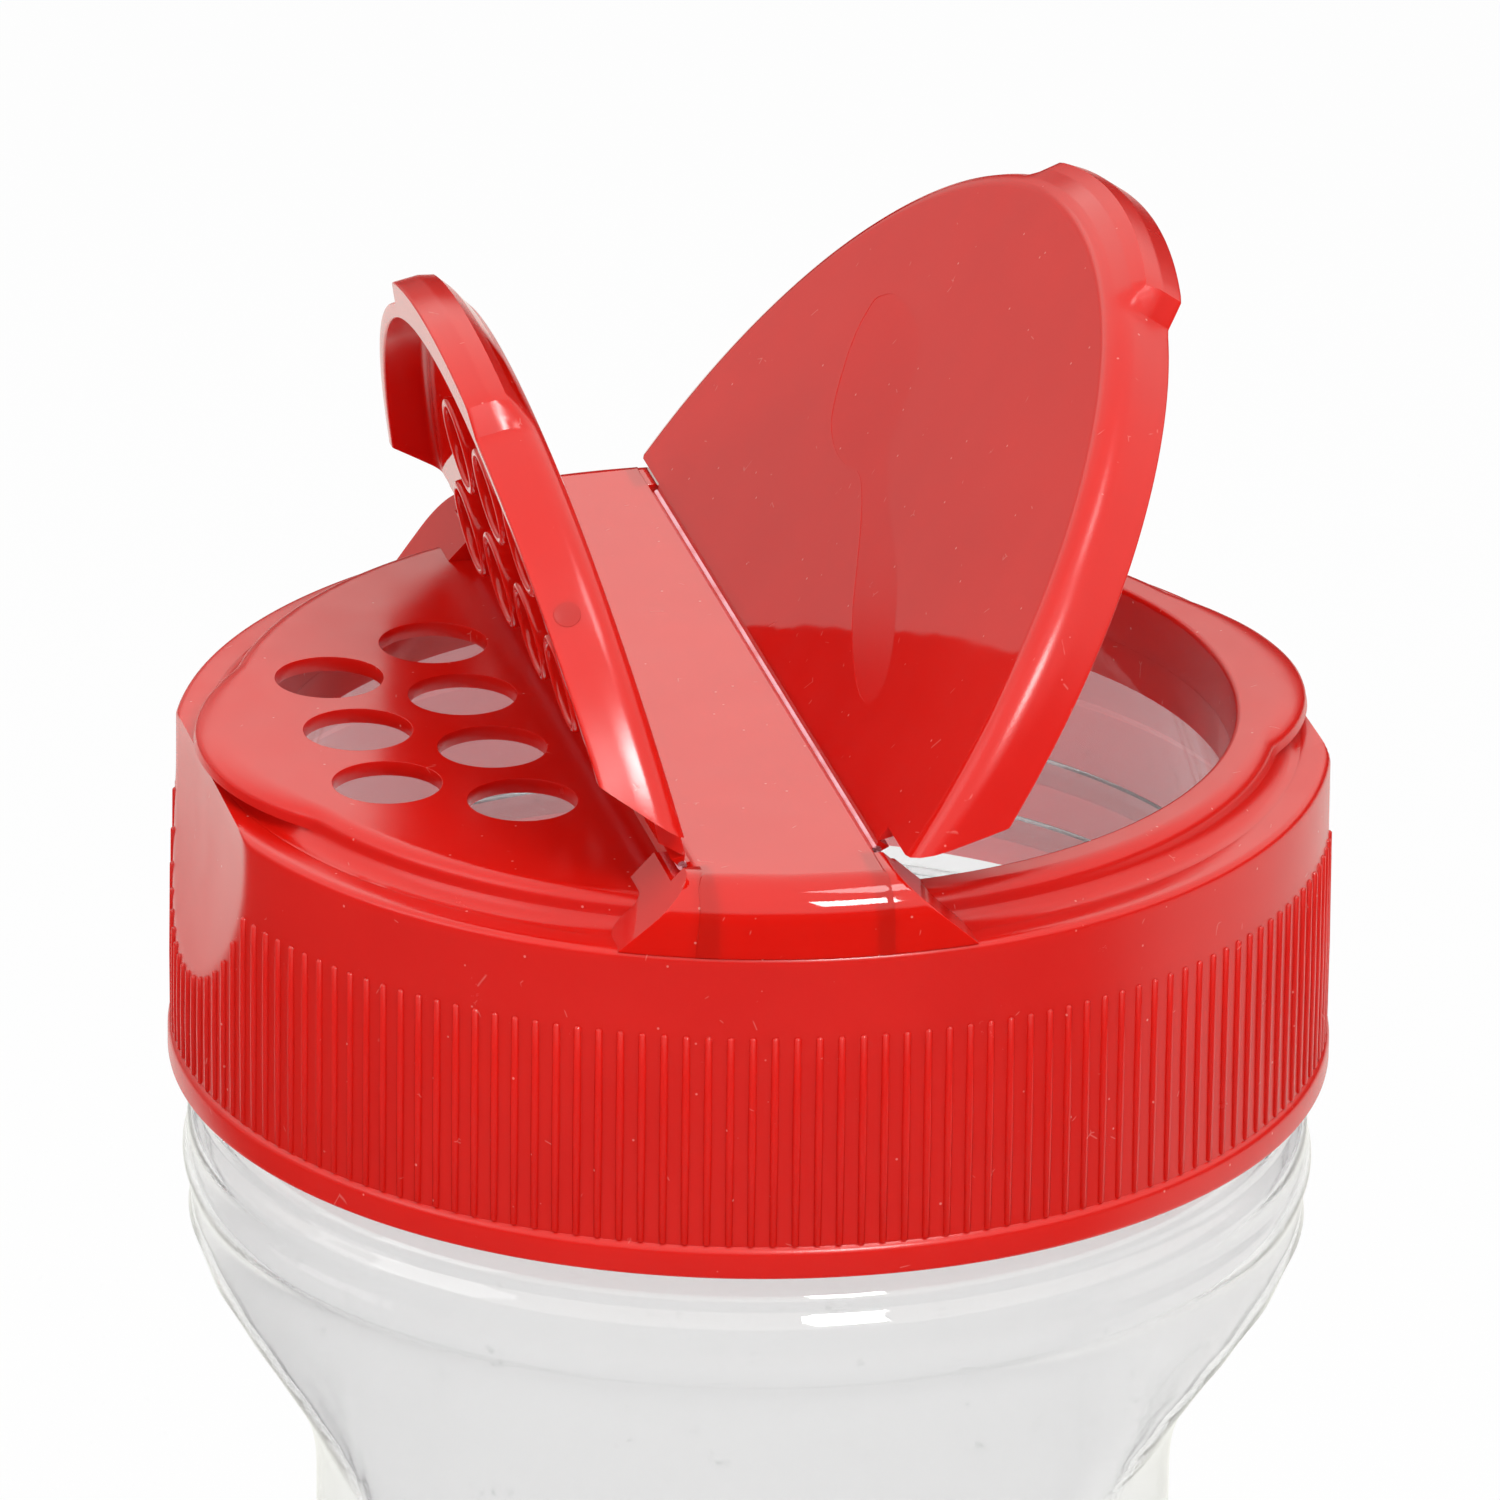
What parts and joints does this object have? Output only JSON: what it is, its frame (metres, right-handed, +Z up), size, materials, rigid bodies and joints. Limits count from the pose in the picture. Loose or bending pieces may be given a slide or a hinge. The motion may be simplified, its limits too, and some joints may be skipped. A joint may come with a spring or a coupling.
{
  "type": "restaurant spice shaker dispenser",
  "caption": "Clear pinch-grip spice jar with a ribbed screw cap carrying two hinged flaps, one over sifting holes and one over a spoon opening.",
  "frame": {"origin": "centre of the jar's base, on the surface it stands on", "axes": "+Z up along the jar; +X towards the spoon-opening flap; the cap's bridge and both hinges lie along Y"},
  "size_m": [0.068, 0.068, 0.1871],
  "materials": {
    "red_polypropylene": "moulded gloss",
    "clear_pet": "clear blown"
  },
  "bodies": {
    "jar": {"jar": "clear_pet"},
    "seal": {"seal_ring": "red_polypropylene"},
    "cap": {"cap_skirt": "red_polypropylene", "bridge": "red_polypropylene", "sift_deck": "red_polypropylene", "spoon_rim": "red_polypropylene", "sift_hinge": "red_polypropylene", "spoon_hinge": "red_polypropylene"},
    "sift_flap": {"sift_flap": "red_polypropylene"},
    "spoon_flap": {"spoon_flap": "red_polypropylene"}
  },
  "joints": [
    {"name": "cap_lift", "type": "slide", "parent": "jar", "child": "seal", "axis": [0, 0, 1], "range_m": [0, 0.00635]},
    {"name": "cap_turn", "type": "hinge", "parent": "seal", "child": "cap", "pos_m": [0, 0, 0.1543], "axis": [0, 0, 1], "range_deg": [0, 540]},
    {"name": "sift_flap_hinge", "type": "hinge", "parent": "cap", "child": "sift_flap", "pos_m": [-0.0106, 0, 0.1597], "axis": [0, 1, 0], "range_deg": [-77, 23]},
    {"name": "spoon_flap_hinge", "type": "hinge", "parent": "cap", "child": "spoon_flap", "pos_m": [0.0007, 0, 0.1597], "axis": [0, -1, 0], "range_deg": [-55, 45]}
  ],
  "couplings": [
    {"joint": "cap_lift", "follows": "cap_turn", "m_per_rad": 0.00067375}
  ]
}
